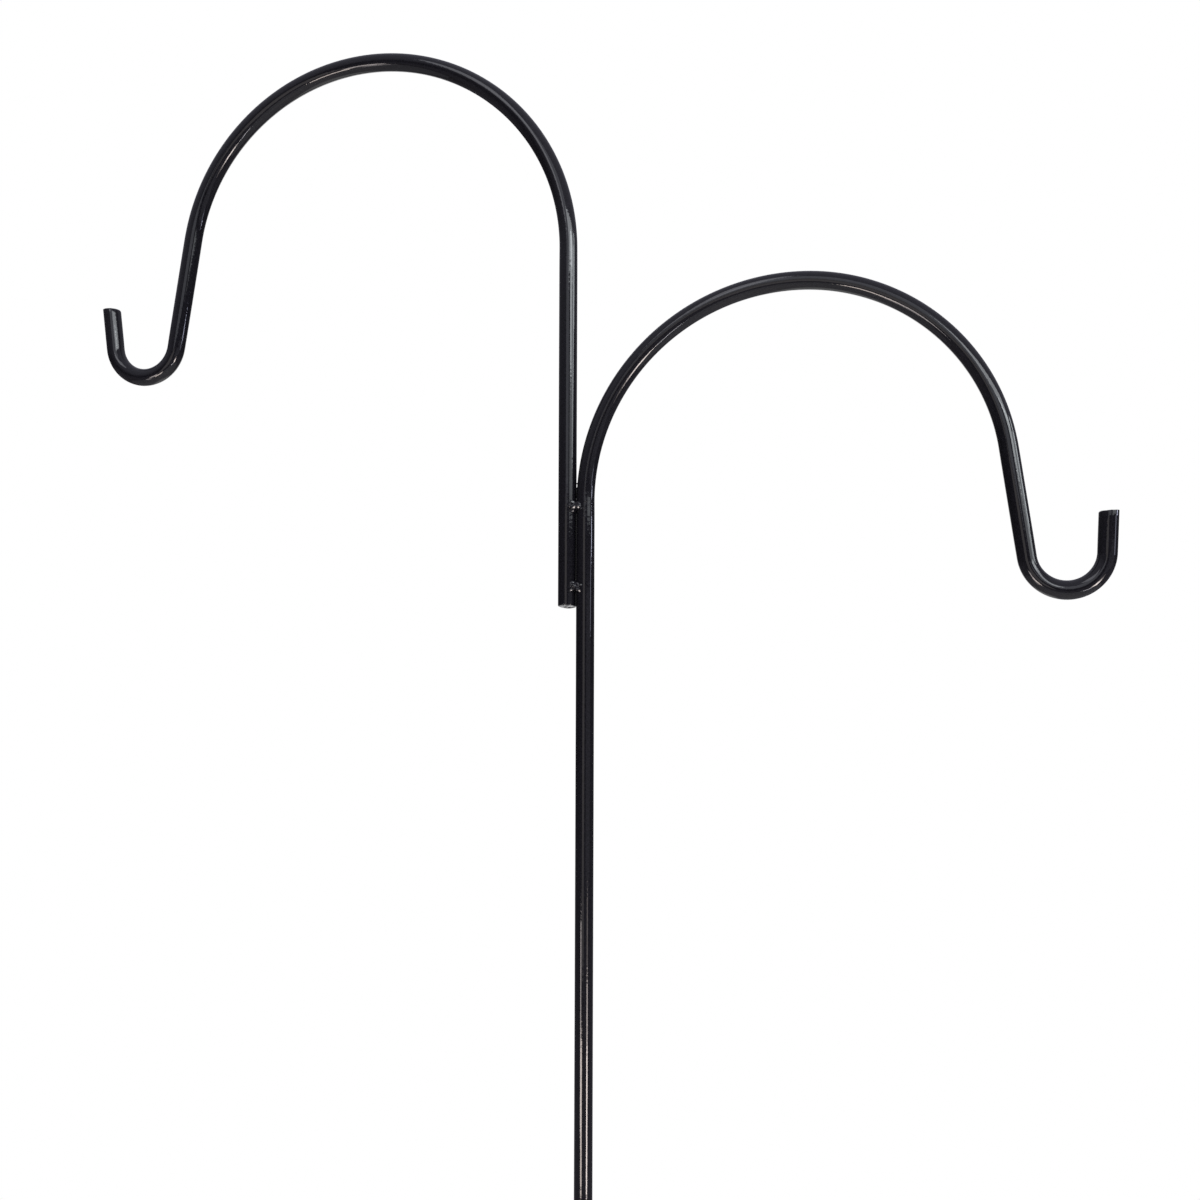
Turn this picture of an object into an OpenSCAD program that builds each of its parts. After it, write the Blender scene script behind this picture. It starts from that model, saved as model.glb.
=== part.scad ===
// Double offset shepherd's hook for hanging plants, in solid round steel bar.
//
// The pole and the lower crook are one bar, bent at its top end. The upper crook is a second bar,
// laid beside the pole and held by short tack welds in the groove between the two. A bent prong,
// welded to the pole at ground level, is the foot step and the second stake.
//
// Millimetres. The origin is on the pole's axis at ground level, Z is up, and both crooks lie in
// the XZ plane, the upper one on the -X side and the lower one on the +X side.

/* [Bar] */
// Diameter of the pole and of both crooks
bar_d = 12.7; // [10:0.1:16]
// Diameter that a bar loses where it is drawn round a bend
bend_thinning = 0.16; // [0.16:0.02:0.4]

/* [Pole and stake] */
// Straight pole, from the ground to the start of the lower crook
pole_height = 1575; // [900:5:1900]
// Depth of the stake below the ground
stake_depth = 230; // [180:5:320]
// Length of the stake's forged point
point_length = 28; // [15:1:45]
// Diameter left at the end of the point
point_d = 3; // [2:0.5:5]

/* [Lower crook] */
// Radius of the arch on its rising side, to the bar's axis
lower_rise_r = 147; // [110:1:190]
// Radius of the arch on its falling side, to the bar's axis
lower_fall_r = 137; // [110:1:190]
// Turn of the whole arch, past which the bar leans outward
lower_turn = 171.5; // [160:0.5:178]
// Straight drop between the arch and the hook
lower_drop = 73; // [50:1:110]
// Turn of the hook
lower_hook_turn = 169; // [150:1:175]
// Straight tip past the hook, along its longest side
lower_tip = 27.5; // [18:0.5:45]

/* [Upper crook] */
// Height of the upper arch's start above the lower arch's start
upper_lift = 178; // [140:1:260]
// Radius of the arch on its rising side, to the bar's axis
upper_rise_r = 144; // [110:1:190]
// Radius of the arch on its falling side, to the bar's axis
upper_fall_r = 144; // [110:1:190]
// Turn of the whole arch, past which the bar leans outward
upper_turn = 171; // [160:0.5:178]
// Straight drop between the arch and the hook
upper_drop = 81; // [50:1:110]
// Turn of the hook
upper_hook_turn = 164; // [150:1:175]
// Straight tip past the hook, along its longest side
upper_tip = 31; // [18:0.5:45]

/* [Hooks] */
// Radius of both hooks, to the bar's axis
hook_r = 25; // [19:0.5:34]

/* [Sheared ends] */
// Angle of both tips' faces off square
tip_tilt = 5; // [0:0.5:8]
// Radius of the edge that the shear rolled over on the upper crook's tip
upper_tip_roll = 2; // [0.4:0.2:3]
// Radius of the edge that the shear rolled over on the lower crook's tip
lower_tip_roll = 1.2; // [0.4:0.2:3]
// Angle off square of the face of the upper crook's cut end, beside the pole
cut_end_tilt = 8; // [0:0.5:10]
// Radius of the edge that the shear rolled over on that end
cut_end_roll = 0.8; // [0.4:0.2:3]

/* [Joint between the bars] */
// Length of the upper crook's bar that lies beside the pole
overlap = 73.5; // [60:0.5:110]
// Gap left between the two bars
bar_gap = 0.2; // [0.1:0.1:0.4]
// Middle of the lower tack, above the upper crook's cut end
lower_tack_height = 14.5; // [10:0.5:25]
// Middle of the upper tack, below the start of the lower arch
upper_tack_drop = 3; // [0:1:12]
// Dabs of weld in an upper tack
upper_tack_dabs = 4; // [3:1:6]
// Dabs of weld in a lower tack
lower_tack_dabs = 3; // [3:1:6]

/* [Weld dabs] */
// Radius of one dab
dab_r = 3.4; // [3:0.1:4]
// Height of a dab above the bars' faces
dab_proud = 1.3; // [0.8:0.1:1.8]
// Width between the two rows of dabs that bridge the groove
weave_width = 4.6; // [3:0.1:6]
// Rise from one dab to the next
dab_pitch = 1.7; // [1.2:0.1:2.4]
// Depth of the unfilled root, from the plane of the bars' axes to the weld
weld_root = 2; // [1.6:0.1:2.4]

/* [Step prong] */
// Diameter of the prong's bar
prong_d = 9.5; // [8:0.5:12]
// Distance between the pole's axis and the prong's axis
prong_reach = 95; // [70:1:140]
// Bend radius of the prong, to its axis
prong_bend_r = 19; // [16:1:30]
// Depth of the prong below the ground
prong_depth = 200; // [120:5:260]
// Length of the prong's point
prong_point = 22; // [12:1:35]
// Radius of one dab in the step's welds
step_dab_r = 2.8; // [2.2:0.1:3.4]
// Distance of a dab's centre out from the corner that it fills
step_dab_out = 0.4; // [0.2:0.1:0.8]
// Dabs in each of the step's two welds
step_dabs = 7; // [5:1:9]
// Part of the way round the prong that each weld covers, in degrees
step_weld_span = 100; // [80:5:120]

/* [Hidden] */
$fn = 96;
dab_fn = 32;
bar_r = bar_d / 2;
prong_r = prong_d / 2;
// Axis of the upper crook's straight bar, and the groove between it and the pole
upper_x = -(bar_d + bar_gap);
groove_x = upper_x / 2;
// Cut end of the upper crook's bar
cut_end_z = pole_height - overlap;
// The step's bar lies on the ground
step_z = prong_r;
// Straight length that a sheared end takes up at the start of the upper crook
end_run = bar_d;
// A straight run reaches this far into the thinner bend beside it
bend_lap = 0.3;
// A rolled edge starts this far outside the bar's side, and so meets it at a clear angle
roll_out = 0.05;
// A cutter reaches this far past what it cuts
past = 2 * bar_d;

// The bends of a crook, as [straight run before the bend, bend radius, turn]
function crook(side, run, rise_r, fall_r, arch_turn, drop, hook_turn) = [
    [run, rise_r, side * 90],
    [0, fall_r, side * (arch_turn - 90)],
    [drop, hook_r, -side * hook_turn]
];

lower_bends = crook(1, pole_height + stake_depth - point_length,
    lower_rise_r, lower_fall_r, lower_turn, lower_drop, lower_hook_turn);
upper_bends = crook(-1, overlap + upper_lift - end_run,
    upper_rise_r, upper_fall_r, upper_turn, upper_drop, upper_hook_turn);
prong_bends = [[prong_reach - prong_bend_r, prong_bend_r, 90]];

// Part of a ring of bar, which leaves the origin along Z and turns towards -X
module left_bend(d, r, turn) {
    translate([-r, 0, 0])
        rotate([90, 0, 0])
            rotate_extrude(angle = turn)
                translate([r, 0])
                    circle(d = d - bend_thinning);
}

// The same to either side: towards +X when turn is positive
module bend(d, r, turn) {
    if (turn < 0)
        left_bend(d, r, -turn);
    else
        mirror([1, 0, 0])
            left_bend(d, r, turn);
}

// Puts its children where a bend ends
module past_bend(r, turn) {
    translate([sign(turn) * r, 0, 0])
        rotate([0, turn, 0])
            translate([-sign(turn) * r, 0, 0])
                children();
}

// A bar bent in one plane, with its children at the end of the last bend
module bent_bar(d, bends, i = 0) {
    run = bends[i][0];
    r = bends[i][1];
    turn = bends[i][2];
    lap = i == 0 ? 0 : bend_lap;
    if (run > 0)
        translate([0, 0, -lap])
            cylinder(d = d, h = lap + run + bend_lap);
    translate([0, 0, run]) {
        bend(d, r, turn);
        past_bend(r, turn)
            if (i + 1 < len(bends))
                bent_bar(d, bends, i + 1)
                    children();
            else
                children();
    }
}

// What a shear leaves of a bar, seen from the side: a flat face along X, and on its right the edge
// that the blade pulled round before the metal broke
module shear_cut(side, roll, reach) {
    difference() {
        translate([-reach, -reach])
            square([2 * reach, reach]);
        translate([side - roll, -roll])
            difference() {
                square(reach);
                circle(r = roll);
            }
    }
}

// A straight length whose far end was cropped in a shear. The blade came in from the side that the
// angle towards gives: the face leans that way, with its edge rolled over there, and the far side
// is sharp and has the full length. It starts a little way back, inside what it continues.
module sheared_end(d, length, lap, tilt, towards, roll) {
    lean = d / 2 * tan(tilt);
    side = (d / 2 + roll * sin(tilt)) / cos(tilt) + roll_out;
    intersection() {
        translate([0, 0, -lap])
            cylinder(d = d, h = lap + length + roll);
        translate([0, 0, length - lean])
            rotate([0, tilt, towards])
                rotate([90, 0, 0])
                    linear_extrude(2 * d, center = true)
                        shear_cut(side, roll, 2 * length);
    }
}

// A straight length drawn down to a blunt point, which starts a little way back in a bend
module pointed_end(d, length, point) {
    translate([0, 0, -bend_lap])
        cylinder(d = d, h = bend_lap + length - point);
    translate([0, 0, length - point])
        cylinder(d1 = d, d2 = point_d, h = point);
}

// Stake, pole and lower crook, in one bar
module main_bar() {
    color("#1b1a1f")
        translate([0, 0, point_length - stake_depth]) {
            bent_bar(bar_d, lower_bends)
                sheared_end(bar_d, lower_tip, bend_lap, tip_tilt, 180, lower_tip_roll);
            mirror([0, 0, 1])
                cylinder(d1 = bar_d, d2 = point_d, h = point_length);
        }
}

// The second bar, which starts one diameter above its cut end
module upper_crook() {
    color("#1d1c21")
        translate([upper_x, 0, cut_end_z + end_run]) {
            bent_bar(bar_d, upper_bends)
                sheared_end(bar_d, upper_tip, bend_lap, tip_tilt, 0, upper_tip_roll);
            mirror([0, 0, 1])
                sheared_end(bar_d, end_run, 0, cut_end_tilt, -90, cut_end_roll);
        }
}

// The straight pole and the first of the lower arch, which a tack has to fit
module pole_beside(height) {
    translate([0, 0, height - past])
        cylinder(d = bar_d, h = past + pole_height - height + bend_lap);
    translate([0, 0, pole_height])
        bend(bar_d, lower_rise_r, 15);
}

// Dabs laid from side to side up the groove between the bars, on the front of the joint
module groove_tack(height, dabs) {
    difference() {
        for (i = [0 : dabs - 1])
            translate([
                groove_x + (i % 2 == 0 ? -0.5 : 0.5) * weave_width,
                dab_r - dab_proud - bar_r,
                height + (i - (dabs - 1) / 2) * dab_pitch
            ])
                sphere(r = dab_r, $fn = dab_fn);
        translate([groove_x - past, -weld_root, height - past])
            cube([2 * past, past, 2 * past]);
        translate([upper_x, 0, height - past])
            cylinder(d = bar_d, h = 2 * past);
        pole_beside(height);
    }
}

module upper_tack() {
    color("#26252a")
        groove_tack(pole_height - upper_tack_drop, upper_tack_dabs);
}

module lower_tack() {
    color("#26252a")
        groove_tack(cut_end_z + lower_tack_height, lower_tack_dabs);
}

module upper_tack_front() {
    upper_tack();
}

module upper_tack_rear() {
    mirror([0, 1, 0])
        upper_tack();
}

module lower_tack_front() {
    lower_tack();
}

module lower_tack_rear() {
    mirror([0, 1, 0])
        lower_tack();
}

module step_prong() {
    color("#1b1a1f")
        difference() {
            translate([0, 0, step_z])
                rotate([0, 90, 0])
                    bent_bar(prong_d, prong_bends)
                        pointed_end(prong_d, prong_depth + step_z - prong_bend_r, prong_point);
            translate([0, 0, step_z - past])
                cylinder(d = bar_d, h = 2 * past);
        }
}

// Dabs laid round the prong where it meets the pole, centred on one side of it
module step_weld(middle) {
    pitch = step_weld_span / (step_dabs - 1);
    color("#26252a")
        difference() {
            for (i = [0 : step_dabs - 1]) {
                around = middle + (i - (step_dabs - 1) / 2) * pitch;
                y = (prong_r + step_dab_out) * sin(around);
                z = step_z + (prong_r + step_dab_out) * cos(around);
                translate([sqrt(bar_r * bar_r - y * y) + step_dab_out, y, z])
                    sphere(r = step_dab_r, $fn = dab_fn);
            }
            translate([0, 0, step_z - past])
                cylinder(d = bar_d, h = 2 * past);
            translate([0, 0, step_z])
                rotate([0, 90, 0])
                    cylinder(d = prong_d, h = prong_reach);
        }
}

module step_weld_top() {
    step_weld(0);
}

module step_weld_bottom() {
    step_weld(180);
}

main_bar();
upper_crook();
upper_tack_front();
upper_tack_rear();
lower_tack_front();
lower_tack_rear();
step_prong();
step_weld_top();
step_weld_bottom();
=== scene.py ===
# %% [markdown]
# # A double offset shepherd's hook in black enamel
# The object is two lengths of round steel bar and a foot step. The pole's own top end is bent into
# the lower crook. A second bar is tacked beside the pole and bent into the taller one. The CAD model
# fixes every size. What is made here is what the eye needs on top of it: bars that go smoothly into
# their bends, ends that were cropped in a shear, rippled weld metal, and the enamel over all of it.
#
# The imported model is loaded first. Its box is kept, because the finished model has to fit in it.

import math

import bpy
import numpy as np
from mathutils import Matrix, Vector, noise


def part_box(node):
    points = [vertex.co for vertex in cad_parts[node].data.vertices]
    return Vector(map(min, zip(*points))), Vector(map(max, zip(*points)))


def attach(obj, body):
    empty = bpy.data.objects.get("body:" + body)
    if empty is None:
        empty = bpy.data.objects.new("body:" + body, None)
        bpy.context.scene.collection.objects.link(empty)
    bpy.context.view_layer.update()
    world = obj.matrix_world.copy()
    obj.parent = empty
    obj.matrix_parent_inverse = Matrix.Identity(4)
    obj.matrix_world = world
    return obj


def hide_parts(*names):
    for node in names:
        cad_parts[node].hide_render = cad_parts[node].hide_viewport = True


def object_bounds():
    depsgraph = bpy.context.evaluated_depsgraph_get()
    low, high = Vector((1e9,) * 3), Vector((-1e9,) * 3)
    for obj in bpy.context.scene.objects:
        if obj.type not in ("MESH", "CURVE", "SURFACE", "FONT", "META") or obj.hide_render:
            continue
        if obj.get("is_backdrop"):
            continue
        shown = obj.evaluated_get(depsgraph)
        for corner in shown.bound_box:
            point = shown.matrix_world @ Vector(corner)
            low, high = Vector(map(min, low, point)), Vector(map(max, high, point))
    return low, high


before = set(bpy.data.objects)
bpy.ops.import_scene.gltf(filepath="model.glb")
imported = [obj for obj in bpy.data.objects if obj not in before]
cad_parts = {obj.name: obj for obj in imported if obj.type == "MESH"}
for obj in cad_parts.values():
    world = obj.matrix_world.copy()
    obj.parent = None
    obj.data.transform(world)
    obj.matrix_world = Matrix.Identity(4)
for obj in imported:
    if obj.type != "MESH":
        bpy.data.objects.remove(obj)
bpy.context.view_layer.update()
MM = 0.001
print("nodes:", sorted(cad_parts))

# %% [markdown]
# ## The camera
# The camera comes before anything is made, so that every try is seen from the same place. It is a lens
# of 42 mm on a 36 mm sensor, a little under a metre in front of the pole and just below the second bar's
# lower end, and it looks 12 degrees to the left and 2 degrees up. A Track To constraint would hide
# those angles in a target's place. Three turns multiplied in order keep them readable.

# %% Camera
camera_place = Vector((0.2109, -0.9439, 1.4709))
camera_yaw = math.radians(11.99)
camera_pitch = math.radians(2.13)
camera_roll = math.radians(0.18)

camera = bpy.data.objects.new("camera", bpy.data.cameras.new("camera"))
bpy.context.scene.collection.objects.link(camera)
camera.data.lens = 42.0
camera.data.sensor_width = 36.0
turn = Matrix.Rotation(camera_yaw, 3, "Z")
turn = turn @ Matrix.Rotation(math.pi / 2 + camera_pitch, 3, "X")
turn = turn @ Matrix.Rotation(camera_roll, 3, "Z")
camera.matrix_world = Matrix.Translation(camera_place) @ turn.to_4x4()
bpy.context.scene.camera = camera
looks_along = -Vector(turn.col[2])
print("camera looks along", [round(v, 4) for v in looks_along])

# %% [markdown]
# ## Sizes of the bars
# A bent bar is a chain of straight runs and bends, which is also how a bender's setting-out sheet gives
# it. The same chain could be a curve object with a round bevel, but then its ends could only be flat
# discs. A skin laid over the chain in mesh code can end in a cropped face or a forged point, all in one
# closed piece. The sizes are the construction's own, and each bar is compared with its CAD node.

# %% Sizes, in millimetres
bar_d = 12.7
bar_r = bar_d / 2
bend_thinning = 0.16            # what a bar loses of its diameter in a bend
bar_gap = 0.2                   # between the two bars at the joint
hook_r = 25.0
pole_height = 1575.0            # where the lower crook's first bend starts
stake_depth = 230.0
stake_point = 28.0
overlap = 73.5                  # from that bend down to the second bar's lowest point
upper_lift = 178.0              # how much higher the upper crook starts to bend
upper_x = -(bar_d + bar_gap)
groove_x = upper_x / 2
cut_end_z = pole_height - overlap
prong_d = 9.5
prong_r = prong_d / 2
prong_reach = 95.0
prong_bend_r = 19.0
prong_depth = 200.0
prong_point = 22.0
point_d = 3.0                   # the blunt tip of the stake and of the prong
step_z = prong_r


def crook(side, run, rise_r, fall_r, arch_turn, drop, hook_turn):
    """Straight run, bend radius and turn of each bend; side is 1 towards +X and -1 towards -X."""
    return [
        (run, rise_r, side * 90.0),
        (0.0, fall_r, side * (arch_turn - 90.0)),
        (drop, hook_r, -side * hook_turn),
    ]


print("groove at x", groove_x, "mm and cut end at z", cut_end_z, "mm")

# %% [markdown]
# ## Walking along a bar
# A station is a place on the bar's axis, with the direction in which the bar goes on. Stations stand
# close together where the bar turns sharply and far apart where it is straight, so that a hook looks
# round and the long pole costs little. A real bar goes into its bend gradually, so the bend's share at
# each station, from 0 to 1, fades in and out over one diameter.

# %% Stations along a bar
STRAIGHT_STEP = 8.0    # mm between stations on a straight
BEND_STEP = 4.0        # mm at most between them in a bend,
BEND_TURN = 4.0        # and degrees at most
FADE_SAMPLES = 9       # places over one diameter that the fade averages


def direction(heading):
    """Unit vector in the XZ plane, from straight up (0) towards +X (90 degrees)."""
    angle = math.radians(heading)
    return np.array([math.sin(angle), 0.0, math.cos(angle)])


def stations(start, heading, bends, tip):
    """Place, heading, length so far and 1.0 in a bend or 0.0 outside one, for each station."""
    place = np.array(start, float)
    found = []
    length = 0.0
    for run, radius, turn_by in [*bends, (tip, 0.0, 0.0)]:
        count = max(int(run / STRAIGHT_STEP), 1) if run else 0
        for i in range(count):
            here = run * i / count
            found.append((place + direction(heading) * here, heading, length + here, 0.0))
        place = place + direction(heading) * run
        length += run
        if not turn_by:
            break
        side = math.copysign(90.0, turn_by)
        centre = place + direction(heading + side) * radius
        arc = radius * math.radians(abs(turn_by))
        count = math.ceil(max(arc / BEND_STEP, abs(turn_by) / BEND_TURN))
        for i in range(count):
            at = heading + turn_by * i / count
            found.append((centre - direction(at + side) * radius, at, length + arc * i / count, 1.0))
        heading += turn_by
        place = centre - direction(heading + side) * radius
        length += arc
    found.append((place, heading, length, 0.0))
    return found


def bend_share(found):
    """How much of a bend each station has, faded over one diameter where a bend starts or ends."""
    lengths = np.array([s[2] for s in found])
    bent = np.array([s[3] for s in found])
    near = np.linspace(-bar_r, bar_r, FADE_SAMPLES)
    return [np.interp(here + near, lengths, bent).mean() for here in lengths]


print("heading 90 runs along", direction(90.0).round(3))

# %% Try the chain on the lower crook
stake_start = (0.0, 0.0, stake_point - stake_depth)
lower_end = 26.944              # last straight run, to the middle of the tip's face
lower_bends = crook(
    1, run=pole_height + stake_depth - stake_point, rise_r=147.0, fall_r=137.0,
    arch_turn=171.5, drop=73.0, hook_turn=169.0)
walk = stations(stake_start, 0.0, lower_bends, lower_end)
print("pole and lower crook:", len(walk), "stations,", round(walk[-1][2]), "mm long")
print("its tip is at", walk[-1][0].round(2), "mm")

# %% [markdown]
# ## Laying a skin over the stations
# At each station the section is a ring of points. Every point also carries its place in the bar as it
# was before bending, across and along. The enamel's grain is laid in those unbent places, so it runs
# round a hook with the bar, as rolling marks do, instead of being cut out of one block.

# %% Rings, and a closed skin over them
SIDES = 48
UNBENT = "unbent"
around = np.linspace(0, 2 * math.pi, SIDES, endpoint=False)


def ring(place, heading, radius, length):
    """One round section, as rows of x, y, z and the same point's place in the unbent bar."""
    across = np.cos(around) * radius
    deep = np.sin(around) * radius
    points = place + np.outer(across, direction(heading + 90.0))
    points[:, 1] += deep
    return np.column_stack([points, across, deep, np.full(SIDES, length)])


def mesh_object(name, points, faces, unbent=None, smooth=True):
    """A mesh object in metres from points in millimetres."""
    points = np.asarray(points, float)
    mesh = bpy.data.meshes.new(name)
    mesh.from_pydata([tuple(p) for p in points[:, :3] * MM], [], faces)
    mesh.polygons.foreach_set("use_smooth", [smooth] * len(mesh.polygons))
    places = points[:, :3] if unbent is None else unbent
    kept = mesh.attributes.new(UNBENT, "FLOAT_VECTOR", "POINT")
    kept.data.foreach_set("vector", (np.asarray(places) * MM).ravel())
    mesh.update()
    made = bpy.data.objects.new(name, mesh)
    bpy.context.scene.collection.objects.link(made)
    return made


def loft(name, rings):
    """A closed skin over rings, capped by a fan to the middle of the first and of the last one."""
    first = rings[0].mean(0)
    last = rings[-1].mean(0)
    points = np.vstack([first, *rings, last])
    end = len(points) - 1
    faces = []
    for k in range(SIDES):
        after = (k + 1) % SIDES
        faces.append((0, 1 + after, 1 + k))
        for low in range(1, end - SIDES, SIDES):
            high = low + SIDES
            faces.append((low + k, low + after, high + after, high + k))
        faces.append((end - SIDES + k, end - SIDES + after, end))
    return mesh_object(name, points, faces, points[:, 3:])


def bar_rings(start, heading, bends, tip, diameter):
    """Rings of a bent bar, with the place, heading and length at its end."""
    found = stations(start, heading, bends, tip)
    rings = []
    for (place, at, length, _), share in zip(found, bend_share(found)):
        rings.append(ring(place, at, diameter / 2 - bend_thinning / 2 * share, length))
    return rings, found[-1][:3]


flat = bar_r * (1 - math.cos(math.pi / SIDES))
print("the flats between", SIDES, "points lie", round(flat, 3), "mm inside the true round")

# %% [markdown]
# ## Sheared ends
# Both bars were cropped in a shear. Where the blade came in, the edge is pulled round. Behind it the metal
# tore, so the face leans a few degrees and wanders by a tenth of a millimetre, and the far edge stays
# sharp, sometimes with a burr. A bevel modifier would round every edge alike. Here the radius of the edge
# changes round the rim, and the face is rings of points that wander with a smooth noise.

# %% A sheared end
EDGE_STEPS = 6         # rings round the edge
FACE_RINGS = (0.92, 0.78, 0.6, 0.42, 0.22, 0.06)
END_ROOM = 4.0         # mm of bar that the end takes the place of
SHARP = 0.25           # mm, the radius of the sharp side
LIP_WITHIN = 0.7       # the burr has sunk into the face at this share of its radius
TEAR_PER_MM = 0.45     # how closely the torn face's waves follow each other


def sheared_end(end, heading, length, tilt, looks, rolled, burr, wander, seed):
    """Rings of a sheared end; `end` is the face's middle.

    tilt: degrees off square. looks: the way round the bar to which the face is turned, in degrees
    from the in-plane right towards +Y. rolled: edge radius on that side. burr: height of the lip
    on the other side. wander: of the torn face. Lengths are in millimetres.
    """
    axis = direction(heading)
    right = direction(heading + 90.0)
    lean = math.tan(math.radians(tilt))
    turned = np.cos(around - math.radians(looks))
    edge = SHARP + (rolled - SHARP) * (0.5 + 0.5 * turned) ** 2
    lip = burr * np.clip(-turned, 0, 1) ** 4
    rings = []

    def put(reach, drop, rough):
        across = reach * np.cos(around)
        deep = reach * np.sin(around)
        along = -lean * reach * turned - drop
        points = end + np.outer(across, right)
        points[:, 1] += deep
        for k in range(SIDES):
            bump = noise.noise(Vector((across[k], deep[k], seed)) * TEAR_PER_MM)
            along[k] += bump * rough
        points = points + np.outer(along, axis)
        rings.append(np.column_stack([points, across, deep, length + along]))

    for step in range(EDGE_STEPS + 1):
        angle = math.pi / 2 * step / EDGE_STEPS
        reach = bar_r - edge * (1 - math.cos(angle))
        drop = edge * (1 - math.sin(angle)) - lip * math.sin(angle) ** 2
        put(reach, drop, wander * step / EDGE_STEPS)
    for share in FACE_RINGS:
        put((bar_r - edge) * share, -lip * max(share - LIP_WITHIN, 0), wander)
    return rings


def start_with(end_rings):
    """Rings of an end made for heading 180, put in the order and the turn of heading 0."""
    return [np.roll(r[::-1], SIDES // 2 + 1, axis=0) for r in end_rings[::-1]]


print("a sheared end has", EDGE_STEPS + 1 + len(FACE_RINGS), "rings")

# %% [markdown]
# ## Forged points
# The stake and the prong are drawn down to a blunt point under a hammer. A plain cone would meet the bar
# in a hard line, so the flank starts with an ease and the tip is rounded over in three rings.

# %% A drawn-down point
FLANK = (0.03, 0.1, 0.25, 0.5, 0.75, 0.97)         # shares of the point's length
BLUNT = ((0.985, 0.93), (0.996, 0.7), (1.0, 0.35))  # shares of its length and of its tip's radius
EASE = 0.03
EASE_WITHIN = 0.25     # the ease ends at this share of the length


def pointed_end(end, heading, length, diameter, reach):
    """Rings of a point that is drawn down over `reach` from a bar of the given diameter."""
    axis = direction(heading)
    rings = []
    for share in FLANK:
        ease = share - EASE * math.sin(math.pi * min(share / EASE_WITHIN, 1))
        radius = (diameter + (point_d - diameter) * ease) / 2
        rings.append(ring(end + axis * reach * share, heading, radius, length + reach * share))
    for share, left in BLUNT:
        radius = point_d / 2 * left
        rings.append(ring(end + axis * reach * share, heading, radius, length + reach * share))
    return rings


print("a point has", len(FLANK) + len(BLUNT), "rings")

# %% [markdown]
# ## The pole with its stake and the lower crook
# One bar runs from the stake's point to the tip of the right hook. Point, bar and tip could be three
# meshes, but then a seam would show in the gloss where they meet. Here all their rings go into one skin.
# The tip's face leans 5 degrees away from the crook, with the blade's rolled edge on the pole's side.

# %% Pole, stake and lower crook
rings, (place, heading, length) = bar_rings(
    stake_start, 0.0, lower_bends, lower_end - END_ROOM, bar_d)
tip = place + direction(heading) * END_ROOM
tip_rings = sheared_end(
    tip, heading, length + END_ROOM,
    tilt=5.0, looks=180.0, rolled=1.2, burr=0.0, wander=0.15, seed=3.0)
point_rings = start_with(pointed_end(np.array(stake_start), 180.0, 0.0, bar_d, stake_point))
main_bar = loft("pole_and_lower_crook", [*point_rings, *rings, *tip_rings])
print("pole and lower crook:", len(main_bar.data.vertices), "points")

# %% [markdown]
# ## The second bar
# It starts beside the pole in a cut end that nobody dressed: the torn face leans 8 degrees forward and
# down, wavy at the back, with a burr. At such a flat angle even black enamel mirrors what is behind
# it, which is why that face looks pale. The bar's other end is the left hook's tip.

# %% Upper crook
upper_end = 30.444              # last straight run, to the middle of the tip's face
cut_face_z = 1502.39            # middle of the leaning face, whose lowest point is at cut_end_z
cut_end = np.array((upper_x, 0.0, cut_face_z))
upper_bends = crook(
    -1, run=pole_height + upper_lift - cut_face_z - END_ROOM, rise_r=144.0, fall_r=144.0,
    arch_turn=171.0, drop=81.0, hook_turn=164.0)
rings, (place, heading, length) = bar_rings(
    cut_end + (0, 0, END_ROOM), 0.0, upper_bends, upper_end - END_ROOM, bar_d)
tip = place + direction(heading) * END_ROOM
tip_rings = sheared_end(
    tip, heading, length + END_ROOM,
    tilt=5.0, looks=0.0, rolled=2.0, burr=0.0, wander=0.15, seed=5.0)
torn_rings = start_with(sheared_end(
    cut_end, 180.0, 0.0,
    tilt=8.0, looks=270.0, rolled=0.8, burr=0.3, wander=0.35, seed=8.0))
upper_crook = loft("upper_crook_bar", [*torn_rings, *rings, *tip_rings])
print("upper crook:", len(upper_crook.data.vertices), "points")


# %% Check a bar against its CAD node
def compare(piece, node):
    """How far a piece's box lies inside (low above 0, high under 0) or outside its CAD node's box."""
    low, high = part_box(node)
    points = np.array([v.co for v in piece.data.vertices])
    under = (points.min(0) - np.array(low)) / MM
    over = (points.max(0) - np.array(high)) / MM
    print(piece.name, "against", node, "low", under.round(2), "high", over.round(2), "mm")


compare(main_bar, "main_bar")
compare(upper_crook, "upper_crook")

# %% [markdown]
# ## The step prong
# A thinner bar is coped to sit against the pole, runs out level as the foot step and turns down as the
# second stake. A boolean cut with the pole would cope it too, but it leaves long thin faces. Here the
# first rings are pushed onto the pole's own cylinder, so the joint is exact and the mesh stays even.

# %% Step prong
COPE = (                        # share of the prong's radius, and mm out from the pole's skin
    (0.15, 0.0), (0.5, 0.0), (0.85, 0.0), (0.98, 0.0),
    (1.0, 0.03), (1.0, 0.4), (1.0, 2.5),
)
prong_start = np.array((bar_r, 0.0, step_z))
prong_bends = [(prong_reach - prong_bend_r - bar_r, prong_bend_r, 90.0)]
prong_fall = prong_depth + step_z - prong_bend_r - prong_point
prong_rings, (place, heading, length) = bar_rings(prong_start, 90.0, prong_bends, prong_fall, prong_d)
cope_rings = []
for share, out in COPE:
    cope = ring(prong_start, 90.0, prong_r * share, out)
    cope[:, 0] = np.sqrt(bar_r ** 2 - cope[:, 1] ** 2) + out
    cope_rings.append(cope)
point_rings = pointed_end(place, heading, length, prong_d, prong_point)
step_prong = loft("step_prong_bar", [*cope_rings, *prong_rings[1:], *point_rings])
compare(step_prong, "step_prong")

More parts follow.
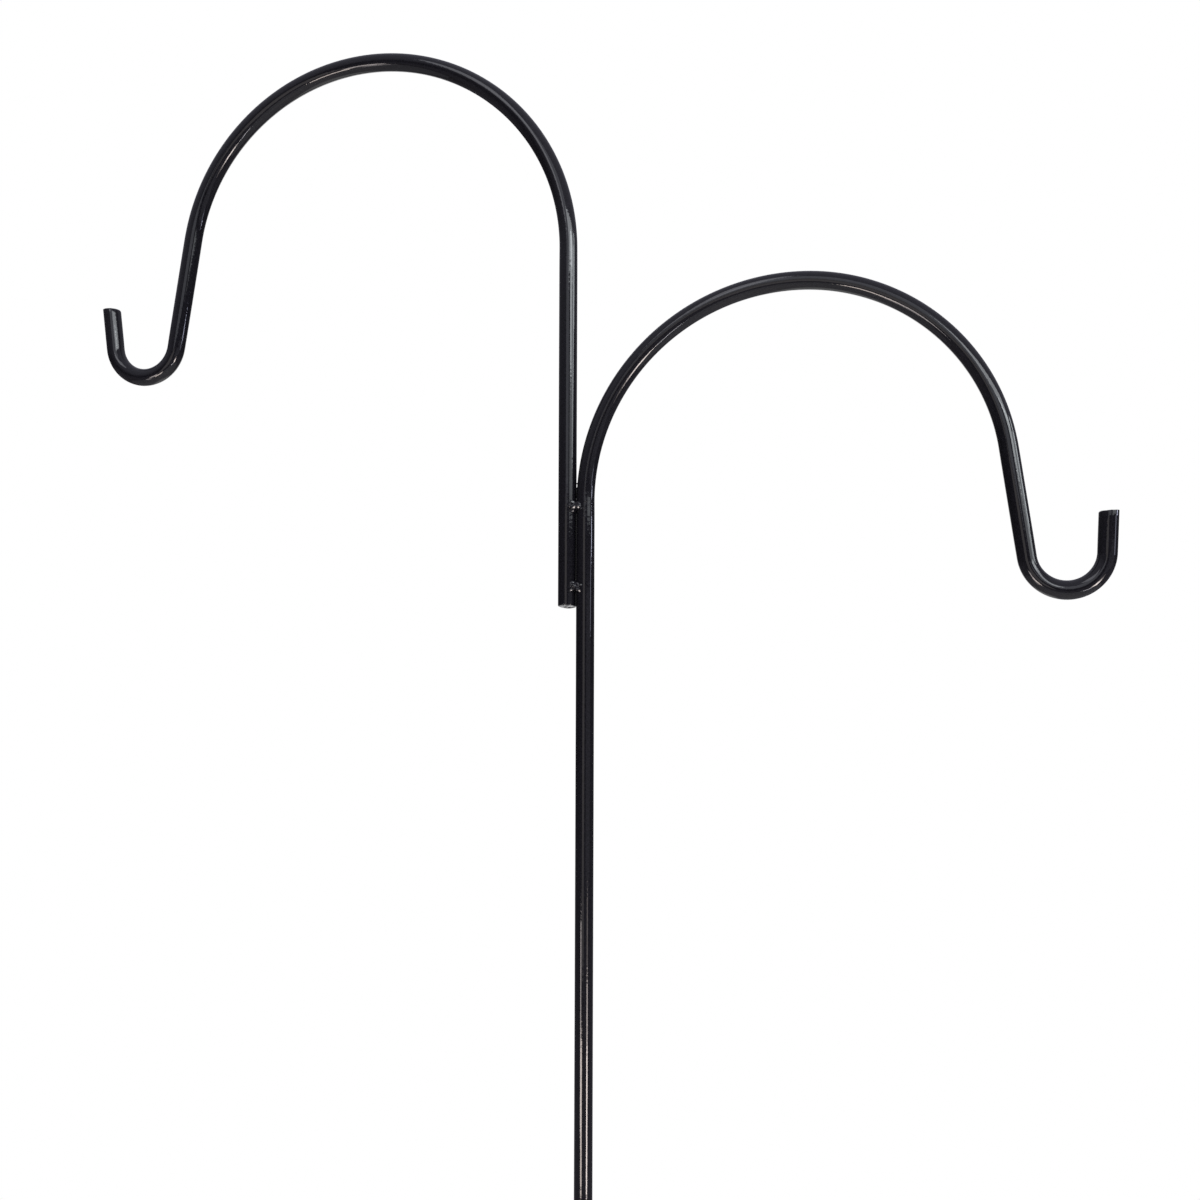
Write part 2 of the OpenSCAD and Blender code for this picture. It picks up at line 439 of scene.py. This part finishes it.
# %% [markdown]
# ## Tack welds in the groove
# A tack is a few dabs of molten steel that ran together, wetted both bars and froze in ripples. Metaballs
# would melt dabs together as well, but not onto a bar that is no metaball. So each tack is a relief:
# over a fine grid on the front of the joint, its height is the smooth maximum of the dabs' domes. Where
# it rises over the bars' skin the grid is kept, backed inside the bars, and closed round the edge.
#
# A dab is told as it was laid: where it is, its half length and half width, how it leans, how far its
# crown stands from the plane of the bars' axes, and to which side and how far up that crown faces. The
# crowns are flat with steep flanks, as a pool that froze fast is, and that is why they flash. None may
# stand higher than the weld in the CAD model, so the height levels off softly below that.

# %% The relief of a tack
GRID = 0.3             # mm from point to point
REACH = 7.5            # the grid's half width and half height
DOME = 1.5             # how high a dab's crown stands over its rim
RIM_FALL = 2.5         # how steeply the height falls beyond that rim
MELT = 0.22            # how far two dabs run into each other
SUNK = 0.15            # the lump's edge is kept this far under the bars' skin
BACK = 0.45            # its back lies this far under the skin, but in the groove
ROOT = 2.0             # never nearer to the plane of the bars' axes than this
RIPPLE_PITCH = 0.8
RIPPLE = 0.045
POOL_BACK = 0.6        # where a dab's ripples start, as a share of its half length
ROUGH = 0.12
ROUGH_PER_MM = 0.8
HIGHEST = 7.63         # from the plane of the bars' axes, a little under the CAD weld's crown
ROUNDED_OFF = 0.25


def bar_skin(x):
    """How far the nearer bar's skin stands from the plane of the bars' axes."""
    nearer = np.minimum(np.abs(x), np.abs(x - upper_x))
    return np.sqrt(np.clip(bar_r ** 2 - nearer ** 2, 0, None))


def dab_dome(x, z, dab):
    """Height of one dab's dome, and of the ripples that its pool left as it froze."""
    at_x, at_z, long, wide, lean, crown, faces_round, faces_up = dab
    c = math.cos(math.radians(lean))
    s = math.sin(math.radians(lean))
    x = x - at_x
    z = z - at_z
    u = x * c + z * s
    v = z * c - x * s
    away = (u / long) ** 2 + (v / wide) ** 2
    slope_x = math.tan(math.radians(faces_round))
    slope_z = math.tan(math.radians(faces_up)) / math.cos(math.radians(faces_round))
    crown = crown - x * slope_x - z * slope_z
    dome = DOME * np.sqrt(np.clip(1 - away ** 2, 0, None)) - RIM_FALL * np.clip(away - 1, 0, None)
    pool = np.hypot(u + POOL_BACK * long, v)
    ripple = RIPPLE * np.sin(2 * math.pi * pool / RIPPLE_PITCH) * np.clip(away, 0, 1) * (away < 1)
    return crown - DOME + dome + ripple


def tack_heights(x, z, dabs, seed):
    """The dabs melted together, roughened, and levelled off under the highest that is allowed."""
    domes = np.array([dab_dome(x, z, dab) for dab in dabs])
    top = domes.max(0)
    melted = top + MELT * np.log(np.exp((domes - top) / MELT).sum(0))
    places = [Vector((a, b, seed)) * ROUGH_PER_MM for a, b in zip(x.flat, z.flat)]
    rough = np.array([noise.noise(p) for p in places]).reshape(x.shape)
    room = HIGHEST - melted - ROUGH * rough
    return HIGHEST - (room + np.hypot(room, ROUNDED_OFF)) / 2


print("the groove is", round(bar_r - float(bar_skin(groove_x)), 2), "mm deep")

# %% Closing a relief into a lump
def tack(name, middle_z, dabs, seed, rear):
    """A closed lump of weld metal on the front of the joint, or mirrored onto its rear."""
    columns = np.arange(groove_x - REACH, groove_x + REACH, GRID)
    rows = np.arange(middle_z - REACH, middle_z + REACH, GRID)
    x, z = np.meshgrid(columns, rows)
    height = tack_heights(x, z, dabs, seed)
    skin = bar_skin(x)
    proud = height > skin - SUNK
    kept = proud[:-1, :-1] & proud[1:, :-1] & proud[:-1, 1:] & proud[1:, 1:]
    front = np.maximum(height, skin - SUNK)
    back = np.maximum(skin - BACK, ROOT)
    side = 1.0 if rear else -1.0
    points = []
    seen = {}

    def point(i, j, sheet):
        key = (i, j, sheet)
        if key not in seen:
            seen[key] = len(points)
            y = front[i, j] if sheet else back[i, j]
            points.append((x[i, j], side * y, z[i, j]))
        return seen[key]

    faces = []
    for i, j in zip(*np.nonzero(kept)):
        rim = [(i, j), (i, j + 1), (i + 1, j + 1), (i + 1, j)]
        faces.append([point(*p, 1) for p in rim])
        faces.append([point(*p, 0) for p in rim[::-1]])
        beside = [(i - 1, j), (i, j + 1), (i + 1, j), (i, j - 1)]
        for k, (a, b) in enumerate(beside):
            inside = 0 <= a < kept.shape[0] and 0 <= b < kept.shape[1]
            if not (inside and kept[a, b]):
                one = rim[k]
                two = rim[(k + 1) % 4]
                faces.append([point(*one, 0), point(*two, 0), point(*two, 1), point(*one, 1)])
    if rear:
        faces = [f[::-1] for f in faces]
    crown = front[:-1, :-1][kept].max()
    print(name, len(faces), "faces, stands", round(crown - bar_r, 2), "mm proud of the bars")
    return mesh_object(name, points, faces)


# %% [markdown]
# The upper tack has a full pool on each bar, a small crown at the upper left, two dabs side by side
# across the pools' lower halves, a toe that ran onto the pole and one that ran down the left bar. The
# lower tack was laid as an inverted Y, a spine down the groove and two feet, over two flat pools. The
# rear ones can't be seen in the picture, so they repeat the front's dabs mirrored.

# %% The four tacks
# Each dab: x, z, half length, half width, lean, crown, and how far it faces right and up in degrees.
upper_tack_z = pole_height - 3.0
upper_dabs = [
    (-8.0, 1574.6, 1.7, 1.6, 0.0, 5.7, 31.0, 6.0),
    (-7.9, 1572.2, 3.4, 3.3, 0.0, 5.6, 20.0, 0.0),
    (-4.3, 1572.0, 3.3, 3.2, 0.0, 5.9, -8.0, 0.0),
    (-6.6, 1570.6, 2.6, 1.6, 27.0, 6.9, 33.5, -18.0),
    (-3.6, 1570.7, 2.0, 1.5, -49.0, 7.1, 33.5, -18.0),
    (-1.6, 1569.6, 1.2, 1.0, 0.0, 6.9, 25.0, -10.0),
    (-8.3, 1568.2, 2.2, 1.4, 0.0, 5.9, 27.0, -22.0),
]
lower_tack_z = cut_end_z + 14.5
lower_dabs = [
    (-8.0, 1517.4, 2.6, 2.9, 0.0, 5.3, 22.0, 0.0),
    (-4.8, 1516.2, 2.8, 3.3, 0.0, 5.7, -6.0, 0.0),
    (-6.5, 1515.8, 1.0, 2.2, 12.0, 6.4, 33.0, -8.0),
    (-8.5, 1513.4, 2.1, 1.3, 35.0, 5.9, 33.0, -16.0),
    (-2.8, 1513.1, 3.0, 1.3, -36.0, 7.0, 33.0, -16.0),
    (-1.4, 1517.1, 1.2, 1.1, 0.0, 7.0, 31.0, 7.0),
]
joints = (("upper", upper_tack_z, upper_dabs), ("lower", lower_tack_z, lower_dabs))
tacks = {}
for where, middle, dabs in joints:
    for side in ("front", "rear"):
        node = f"{where}_tack_{side}"
        tacks[node] = tack(f"{where}_tack_bead_{side}", middle, dabs, middle, side == "rear")
        compare(tacks[node], node)

# %% [markdown]
# ## Fillet welds at the step
# The step carries a person's weight, so a weld fills the corner over the prong and another the one
# under it. A fillet is swept along the corner: at each angle round the prong, one leg lies on the
# prong, the other on the pole, and the face between them bulges. Each dab leaves a low crescent across
# that face, bowed towards the end where the welder started, and the legs run out at both ends.

# %% A fillet weld round the prong
WELD_SPAN = 130.0      # degrees round the prong
WELD_LEG = 3.0
LEG_WANDER = 0.15      # mm by which the leg grows and shrinks along the weld,
WANDER_RATE = 0.6      # in waves that are 1 / 0.6 times as long as a dab
RUN_OUT = 0.45         # how roundly the leg runs out: 1 is a slow wedge, 0 a blunt end
LEAST_LEG = 0.25
INTO_POLE = 0.5        # how far the weld's back is sunk into the pole and the prong
INTO_PRONG = 0.4
WELD_BULGE = 0.55
SLANT = 0.7            # the bulge goes out at 45 degrees, so each of its two parts is 0.7 of it
SET_BACK = 0.05
CRESCENT = 0.1
CRESCENT_BOW = 2.6
STEP_DABS = 9
SWEEP_STEPS = 96
ARC_STEPS = 14


def fillet_section(turn_at, middle):
    """One section of the fillet, as points from its root on the pole round its face to the prong."""
    share = 2 * turn_at / WELD_SPAN
    laid = math.pi * STEP_DABS * (share + 1)
    full_leg = WELD_LEG + LEG_WANDER * math.sin(WANDER_RATE * laid + middle)
    leg = max(full_leg * max(1 - share ** 4, 0) ** RUN_OUT, LEAST_LEG)
    phi = math.radians(middle + turn_at)
    section = [(-INTO_POLE, -INTO_PRONG), (-INTO_POLE, leg)]
    for k in range(ARC_STEPS + 1):
        t = k / ARC_STEPS
        across = math.sin(math.pi * t)
        crescent = CRESCENT * math.cos(laid + CRESCENT_BOW * across)
        bulge = (WELD_BULGE + crescent) * leg / WELD_LEG * across
        push = bulge * SLANT - SET_BACK
        section.append((leg * t + push, leg * (1 - t) + push))
    section.append((leg, -INTO_PRONG))
    points = []
    for x, rise in section:
        y = math.sin(phi) * (prong_r + rise)
        on_pole = math.sqrt(max(bar_r ** 2 - y ** 2, 0))
        points.append((on_pole + x, y, step_z + math.cos(phi) * (prong_r + rise)))
    return points


def fillet(name, middle):
    """A closed fillet; middle is 0 over the prong and 180 under it."""
    sections = []
    for i in range(SWEEP_STEPS + 1):
        turn_at = WELD_SPAN * (i / SWEEP_STEPS - 0.5)
        sections.append(fillet_section(turn_at, middle))
    count = len(sections[0])
    points = [p for s in sections for p in s]
    last = SWEEP_STEPS * count
    faces = [tuple(reversed(range(count))), tuple(last + k for k in range(count))]
    for i in range(SWEEP_STEPS):
        for k in range(count):
            low = i * count
            after = (k + 1) % count
            faces.append((low + k, low + after, low + count + after, low + count + k))
    return mesh_object(name, points, faces)


step_welds = {
    "step_weld_top": fillet("step_fillet_top", 0.0),
    "step_weld_bottom": fillet("step_fillet_bottom", 180.0),
}
for node, piece in step_welds.items():
    compare(piece, node)

# %% [markdown]
# ## Spatter
# Welding throws grains that stick near the joint and are painted over: two bridge the narrow gap above
# the upper tack, one sits at the cut end's front and one on the pole. A particle system would strew
# them anywhere, so the four are listed one by one, each a small squashed ball sunk into the bar. They
# are one piece, because they are one thing: loose grains.

# %% Spatter grains
GRAINS = (             # middle and half sizes
    ((-6.15, 0.0, 1587.7), (0.75, 1.2, 0.5)),
    ((-6.25, 0.0, 1581.2), (0.5, 1.0, 3.9)),
    ((-13.9, -6.25, 1504.1), (0.45, 0.35, 0.4)),
    ((0.9, -6.2, 1574.6), (0.7, 0.3, 0.8)),
)
grain_steps = 10
belt = 2 * grain_steps          # points round each ring of a grain
points = []
faces = []
for middle, half in GRAINS:
    first = len(points)
    points.append((middle[0], middle[1], middle[2] + half[2]))
    for i in range(1, grain_steps):
        polar = math.pi * i / grain_steps
        for k in range(belt):
            angle = math.pi * k / grain_steps
            out = math.sin(polar)
            way = (out * math.cos(angle), out * math.sin(angle), math.cos(polar))
            points.append([middle[n] + half[n] * way[n] for n in range(3)])
    points.append((middle[0], middle[1], middle[2] - half[2]))
    last = len(points) - 1
    for k in range(belt):
        after = (k + 1) % belt
        faces.append((first, first + 1 + k, first + 1 + after))
        for i in range(grain_steps - 2):
            low = first + 1 + i * belt
            faces.append((low + k, low + belt + k, low + belt + after, low + after))
        faces.append((last - belt + after, last - belt + k, last))
spatter = mesh_object("weld_spatter", points, faces)
print("spatter:", len(GRAINS), "grains")

# %% [markdown]
# ## The enamel
# The finish is a stoving enamel: a black resin paint, sprayed over the welded bars and baked hard. It is
# no metal, its IOR is 1.54, and it is glossy, so lamps show as fairly sharp lines. A sprayed coat is
# never quite level: it dries with an orange peel of 2 to 3 mm from crest to crest, and dust and the
# scale of the hot-rolled bar under it leave a finer grain. The peel and the grain are drawn by noise in
# the unbent places, and the gloss changes slowly, because the coat is thicker here and thinner there.
# A wave texture would give peel in stripes, and a clear coat over black would only add a second gloss.
# To the eye this gives deep black with lines of light in it that waver a little along the bar.

# %% Colours and nodes
def linear(hex_colour):
    """An sRGB hex colour as linear RGBA."""
    channels = [int(hex_colour[i:i + 2], 16) / 255 for i in (1, 3, 5)]
    curve = [c / 12.92 if c <= 0.04045 else ((c + 0.055) / 1.055) ** 2.4 for c in channels]
    return (*curve, 1.0)


def add_node(tree, kind, settings=None, inputs=None):
    """A node with its settings; an input is a value or the socket that it is linked to."""
    node = tree.nodes.new(kind)
    for key, value in (settings or {}).items():
        setattr(node, key, value)
    for key, value in (inputs or {}).items():
        if isinstance(value, bpy.types.NodeSocket):
            tree.links.new(value, node.inputs[key])
        else:
            node.inputs[key].default_value = value
    return node


print("mid grey #808080 is", round(linear("#808080")[0], 3), "in linear light")

# %% Enamel, as a recipe for both bars and welds
PEEL_MM = 2.6          # crest to crest of the orange peel
GRAIN_MM = 1.2         # dust is nearer 0.2 mm; drawn coarser so that it shows at all
ROLLING_MM = 0.9       # width of a rolling mark
ROLLING_DRAWN = 0.03   # it is about thirty times as long as wide
ROLLING_SHARE = 0.5    # of the grain's depth
CLOUD_MM = 30.0        # how fast the coat's thickness changes
ENAMEL_IOR = 1.54
FULL_COAT = "#070709"
THIN_COAT = "#1d1c22"  # the specks where dust or scale shows through


def stoving_enamel(name, gloss, peel_depth, grain_depth):
    """gloss: lowest and highest roughness. Depths are in millimetres."""
    material = bpy.data.materials.new(name)
    material.use_nodes = True
    tree = material.node_tree
    tree.nodes.clear()
    unbent = add_node(tree, "ShaderNodeAttribute", {"attribute_name": UNBENT}).outputs["Vector"]
    peel = add_node(tree, "ShaderNodeTexNoise", {}, {
        "Vector": unbent, "Scale": 1 / (PEEL_MM * MM), "Detail": 1.0, "Roughness": 0.4})
    grain = add_node(tree, "ShaderNodeTexNoise", {}, {
        "Vector": unbent, "Scale": 1 / (GRAIN_MM * MM), "Detail": 4.0, "Roughness": 0.75})
    drawn_out = add_node(tree, "ShaderNodeMapping", {}, {
        "Vector": unbent, "Scale": (1.0, 1.0, ROLLING_DRAWN)})
    rolling = add_node(tree, "ShaderNodeTexNoise", {}, {
        "Vector": drawn_out.outputs["Vector"], "Scale": 1 / (ROLLING_MM * MM), "Detail": 1.0})
    cloud = add_node(tree, "ShaderNodeTexNoise", {}, {
        "Vector": unbent, "Scale": 1 / (CLOUD_MM * MM), "Detail": 3.0, "Roughness": 0.6})
    coat = add_node(tree, "ShaderNodeMapRange", {}, {
        "Value": cloud.outputs["Fac"], "From Min": 0.35, "From Max": 0.65})
    rough = add_node(tree, "ShaderNodeMapRange", {}, {
        "Value": coat.outputs["Result"], "To Min": gloss[0], "To Max": gloss[1]})
    specks = add_node(tree, "ShaderNodeMapRange", {}, {
        "Value": grain.outputs["Fac"], "From Min": 0.3, "From Max": 0.7})
    tone = add_node(tree, "ShaderNodeMix", {"data_type": "RGBA"}, {
        "Factor": specks.outputs["Result"], "A": linear(FULL_COAT), "B": linear(THIN_COAT)})
    marks = add_node(tree, "ShaderNodeMath", {"operation": "MULTIPLY_ADD"}, {
        0: rolling.outputs["Fac"], 1: ROLLING_SHARE, 2: grain.outputs["Fac"]})
    fine = add_node(tree, "ShaderNodeBump", {}, {
        "Height": marks.outputs["Value"], "Distance": grain_depth * MM})
    waves = add_node(tree, "ShaderNodeBump", {}, {
        "Height": peel.outputs["Fac"], "Distance": peel_depth * MM, "Normal": fine.outputs["Normal"]})
    shader = add_node(tree, "ShaderNodeBsdfPrincipled", {}, {
        "Base Color": tone.outputs["Result"], "Roughness": rough.outputs["Result"],
        "Normal": waves.outputs["Normal"], "IOR": ENAMEL_IOR})
    add_node(tree, "ShaderNodeOutputMaterial", {}, {"Surface": shader.outputs["BSDF"]})
    return material


# %% Paint the bars and the welds
# Over a weld the coat pools between the ripples, so it is a little glossier and more level.
black_enamel = stoving_enamel("black_stoving_enamel", (0.035, 0.075), peel_depth=0.03, grain_depth=0.004)
weld_enamel = stoving_enamel("black_enamel_over_weld", (0.025, 0.06), peel_depth=0.015, grain_depth=0.003)


def hand_over(piece, material, slot, *nodes):
    """Paints a piece, puts it on the object and lets it stand for its CAD nodes."""
    piece.data.materials.append(material)
    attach(piece, "root")
    if nodes:
        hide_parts(*nodes)


bars = {"main_bar": main_bar, "upper_crook": upper_crook, "step_prong": step_prong}
welds = {**tacks, **step_welds}
for node, piece in bars.items():
    hand_over(piece, black_enamel, "black_paint", node)
for node, piece in welds.items():
    hand_over(piece, weld_enamel, "weld_paint", node)
hand_over(spatter, weld_enamel, "weld_paint")
print("painted", len(bars), "bars,", len(welds), "welds and the spatter")

# %% [markdown]
# ## The floor
# The hook stands on its stake on a plain pale floor. The floor goes over into the white backdrop, so
# that no edge shows: near the hook a third of it is a matt floor that keeps the shadow, and from 0.8 to
# 2.4 m out it turns into plain white. A large plane with a horizon would need a sky that matches it. A
# round floor that fades out needs none.

# %% Floor
FLOOR_R = 2.6          # metres
NEAR_R = 0.8
FAR_R = FLOOR_R - 0.2
NEAR_WHITE = 0.65      # share of plain white near the hook
FLOOR_POINTS = 96
floor_z = -stake_depth
rim = np.linspace(0, 2 * math.pi, FLOOR_POINTS, endpoint=False)
floor_rim = np.column_stack([
    np.cos(rim) * FLOOR_R / MM, np.sin(rim) * FLOOR_R / MM, np.full(FLOOR_POINTS, floor_z)])
floor = mesh_object("floor", floor_rim, [tuple(range(FLOOR_POINTS))], smooth=False)
floor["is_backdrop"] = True
print("floor at z", floor_z, "mm")

# %% [markdown]
# ## The white backdrop and the room
# Behind the object everything is white, as wide as the picture. Enamel mirrors that white too, but only
# where the backdrop is: the rest of the room is dim, a little lighter and bluer above, or the black
# would turn grey. So the world is white to every camera ray, and to mirrored rays within a cone that
# hangs a little below the direction in which the camera looks. That direction is a fixed one in the
# room. The walls are dimmest level with the eye, where nothing lights them, so that upright bars come
# out nearly black while the arches, which mirror the room above, are lighter.

# %% Where white shows
BACKDROP_CLEAR = 15.0  # degrees from the backdrop's middle within which it is plain white
BACKDROP_EDGE = 20.0   # and where it has faded out
BACKDROP_DROP = 0.14
backdrop_way = (looks_along - Vector((0.0, 0.0, BACKDROP_DROP))).normalized()


def backdrop_share(tree, way):
    """1 where a mirrored ray meets the white backdrop, 0 elsewhere in the room."""
    facing = add_node(tree, "ShaderNodeVectorMath", {"operation": "DOT_PRODUCT"}, {
        0: way, 1: tuple(backdrop_way)})
    return add_node(tree, "ShaderNodeMapRange", {"interpolation_type": "SMOOTHSTEP"}, {
        "Value": facing.outputs["Value"],
        "From Min": math.cos(math.radians(BACKDROP_EDGE)),
        "From Max": math.cos(math.radians(BACKDROP_CLEAR))}).outputs["Result"]


def sees_white(tree, share):
    """1 for camera rays, and the share of the backdrop for mirrored and refracted ones."""
    rays = add_node(tree, "ShaderNodeLightPath").outputs
    mirrored = add_node(tree, "ShaderNodeMath", {"operation": "ADD"}, {
        0: rays["Is Glossy Ray"], 1: rays["Is Transmission Ray"]})
    mirrored = add_node(tree, "ShaderNodeMath", {"operation": "MULTIPLY"}, {
        0: mirrored.outputs["Value"], 1: share})
    return add_node(tree, "ShaderNodeMath", {"operation": "ADD", "use_clamp": True}, {
        0: rays["Is Camera Ray"], 1: mirrored.outputs["Value"]}).outputs["Value"]


print("white backdrop out to", BACKDROP_EDGE, "degrees round", [round(v, 3) for v in backdrop_way])

# %% Paint the floor
floor_paint = bpy.data.materials.new("matt_pale_floor")
floor_paint.use_nodes = True
tree = floor_paint.node_tree
tree.nodes.clear()
spot = add_node(tree, "ShaderNodeTexCoord").outputs["Object"]
away = add_node(tree, "ShaderNodeVectorMath", {"operation": "LENGTH"}, {0: spot}).outputs["Value"]
far = add_node(tree, "ShaderNodeMapRange", {"interpolation_type": "SMOOTHSTEP"}, {
    "Value": away, "From Min": NEAR_R, "From Max": FAR_R})
into_white = add_node(tree, "ShaderNodeMapRange", {}, {
    "Value": far.outputs["Result"], "To Min": NEAR_WHITE, "To Max": 1.0})
white = add_node(tree, "ShaderNodeEmission", {}, {"Color": linear("#ffffff"), "Strength": 1.0})
matt = add_node(tree, "ShaderNodeBsdfDiffuse", {}, {"Color": linear("#d4d2ce")})
backdrop_side = add_node(tree, "ShaderNodeVectorMath", {"operation": "NORMALIZE"}, {0: spot})
seen = sees_white(tree, backdrop_share(tree, backdrop_side.outputs["Vector"]))
share = add_node(tree, "ShaderNodeMath", {"operation": "MULTIPLY"}, {
    0: seen, 1: into_white.outputs["Result"]})
both = add_node(tree, "ShaderNodeMixShader", {}, {
    0: share.outputs["Value"], 1: matt.outputs["BSDF"], 2: white.outputs["Emission"]})
add_node(tree, "ShaderNodeOutputMaterial", {}, {"Surface": both.outputs["Shader"]})
floor.data.materials.append(floor_paint)
print("the floor is plain white from", round(FAR_R, 2), "m out")

# %% World
WALL_DIM = 0.18        # share of the room's brightness that is left level with the eye
WALL_HEIGHT = 0.48     # sine of the angle at which the room has its full brightness
world = bpy.data.worlds.new("studio")
bpy.context.scene.world = world
world.use_nodes = True
tree = world.node_tree
tree.nodes.clear()
way = add_node(tree, "ShaderNodeTexCoord").outputs["Generated"]
seen = sees_white(tree, backdrop_share(tree, way))
up = add_node(tree, "ShaderNodeSeparateXYZ", {}, {0: way}).outputs["Z"]
height = add_node(tree, "ShaderNodeMapRange", {}, {"Value": up, "From Min": -1.0})
room = add_node(tree, "ShaderNodeMix", {"data_type": "RGBA"}, {
    "Factor": height.outputs["Result"], "A": linear("#4a4546"), "B": linear("#a8a8b6")})
off_level = add_node(tree, "ShaderNodeMath", {"operation": "ABSOLUTE"}, {0: up})
walls = add_node(tree, "ShaderNodeMapRange", {"interpolation_type": "SMOOTHSTEP"}, {
    "Value": off_level.outputs["Value"], "From Max": WALL_HEIGHT, "To Min": WALL_DIM})
dim = add_node(tree, "ShaderNodeBackground", {}, {
    "Color": room.outputs["Result"], "Strength": walls.outputs["Result"]})
white = add_node(tree, "ShaderNodeBackground", {}, {"Color": linear("#ffffff"), "Strength": 1.0})
both = add_node(tree, "ShaderNodeMixShader", {}, {
    0: seen, 1: dim.outputs["Background"], 2: white.outputs["Background"]})
add_node(tree, "ShaderNodeOutputWorld", {}, {"Surface": both.outputs["Shader"]})
print("walls keep", WALL_DIM, "of the room's brightness level with the eye")

# %% [markdown]
# ## The lamps
# Gloss on black is nothing but the shapes of the lamps, so they are placed by the lines that they draw
# along the bars. A large window stands at the right, with a second pane above it, a dimmer one further
# round and its lit sill below. At the side a strip draws the line near the right-hand edges, and two
# small lamps the short gleam at the joint. A broad faint glow is in front, and under it two pale walls
# with a dark gap between them. Low warm cards lighten the pole's lower part with the two thin lines
# that it shows, and fade out upwards.
#
# One lit picture of a room round the object would be simpler, but its light couldn't be moved line by
# line. Each lamp here is given by the direction in which a middle point on the pole sees it, and its
# strength is the brightness of its face, so that moving or resizing one doesn't change how bright its
# mirror image is.

# %% A lamp, and all of them
MIDDLE = Vector((0.0, 0.0, 1.4))   # on the pole, a tenth of a metre below the joint


def lamp(name, azimuth, elevation, distance, width, height, brightness, colour):
    """A rectangle turned to that point; azimuth 0 is in front of it (-Y), 90 at its right (+X)."""
    a = math.radians(azimuth)
    e = math.radians(elevation)
    way = Vector((math.sin(a) * math.cos(e), -math.cos(a) * math.cos(e), math.sin(e)))
    light = bpy.data.lights.new(name, "AREA")
    light.shape = "RECTANGLE"
    light.size = width
    light.size_y = height
    light.energy = brightness * math.pi * width * height
    light.color = linear(colour)[:3]
    lit = bpy.data.objects.new(name, light)
    bpy.context.scene.collection.objects.link(lit)
    lit.location = MIDDLE + way * distance
    lit.rotation_mode = "QUATERNION"
    lit.rotation_quaternion = way.to_track_quat("Z", "Y")
    lit.visible_camera = False


# Azimuth and elevation in degrees, distance, width and height in metres, brightness, colour.
lamp("window", 50, 18.9, 6.5, 2.6, 1.18, 6.0, "#f5fcff")
lamp("window_top_pane", 44, 28.5, 2.55, 2.2, 0.46, 4.1, "#f6fbff")
lamp("window_far_side", 77, 15, 6.5, 2.3, 1.25, 3.1, "#f3fbff")
lamp("window_sill", 56, 10.5, 6.5, 4.6, 0.78, 1.5, "#f5fbff")
lamp("side_strip", 89.5, 17.5, 6.5, 1.0, 1.6, 7.0, "#f3fbff")
lamp("front_glow", 7, 23.5, 5.87, 3.5, 3.25, 0.78, "#f2f6ff")
lamp("left_skylight", -12, 41, 2.3, 0.56, 1.2, 1.7, "#f6f7ff")
lamp("low_card_right", 54.5, -25.5, 1.85, 0.44, 0.27, 17, "#fff2ec")
lamp("low_card_right_upper", 54, -19.5, 1.8, 0.44, 0.12, 7.2, "#fff2ec")
lamp("low_card_right_top", 53, -15, 1.75, 0.44, 0.14, 1.7, "#fff2ec")
lamp("low_strip_right", 44, -33, 2.05, 0.5, 0.08, 12, "#fbf7ff")
lamp("low_card_left", -17, -28, 1.33, 0.35, 0.23, 10, "#fff0e7")
lamp("low_card_left_upper", -26, -20.5, 1.75, 0.33, 0.38, 6.0, "#fff4f1")
lamp("low_card_left_far", -34, -35.5, 2.3, 0.32, 0.54, 2.5, "#fff5f5")
lamp("side_gleam", 95, 11.1, 1.4, 0.16, 0.075, 12.5, "#e1e6ff")
lamp("side_gleam_low", 83, 6.9, 1.4, 0.21, 0.13, 2.4, "#e1e6ff")
lamp("wall_left", -5, -3.1, 2.5, 1.1, 1.15, 0.62, "#fdf6f2")
lamp("wall_right", 55, -3.1, 2.5, 2.6, 0.75, 0.2, "#f4f4ff")
print("lamps:", len(bpy.data.lights))

# %% [markdown]
# ## Colour view and the finished box
# The Standard view shows each colour as it was written. At the end the finished model's box is taken
# over everything that renders, except the floor.

# %% The finished model's box
bpy.context.scene.view_settings.view_transform = "Standard"

low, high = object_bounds()
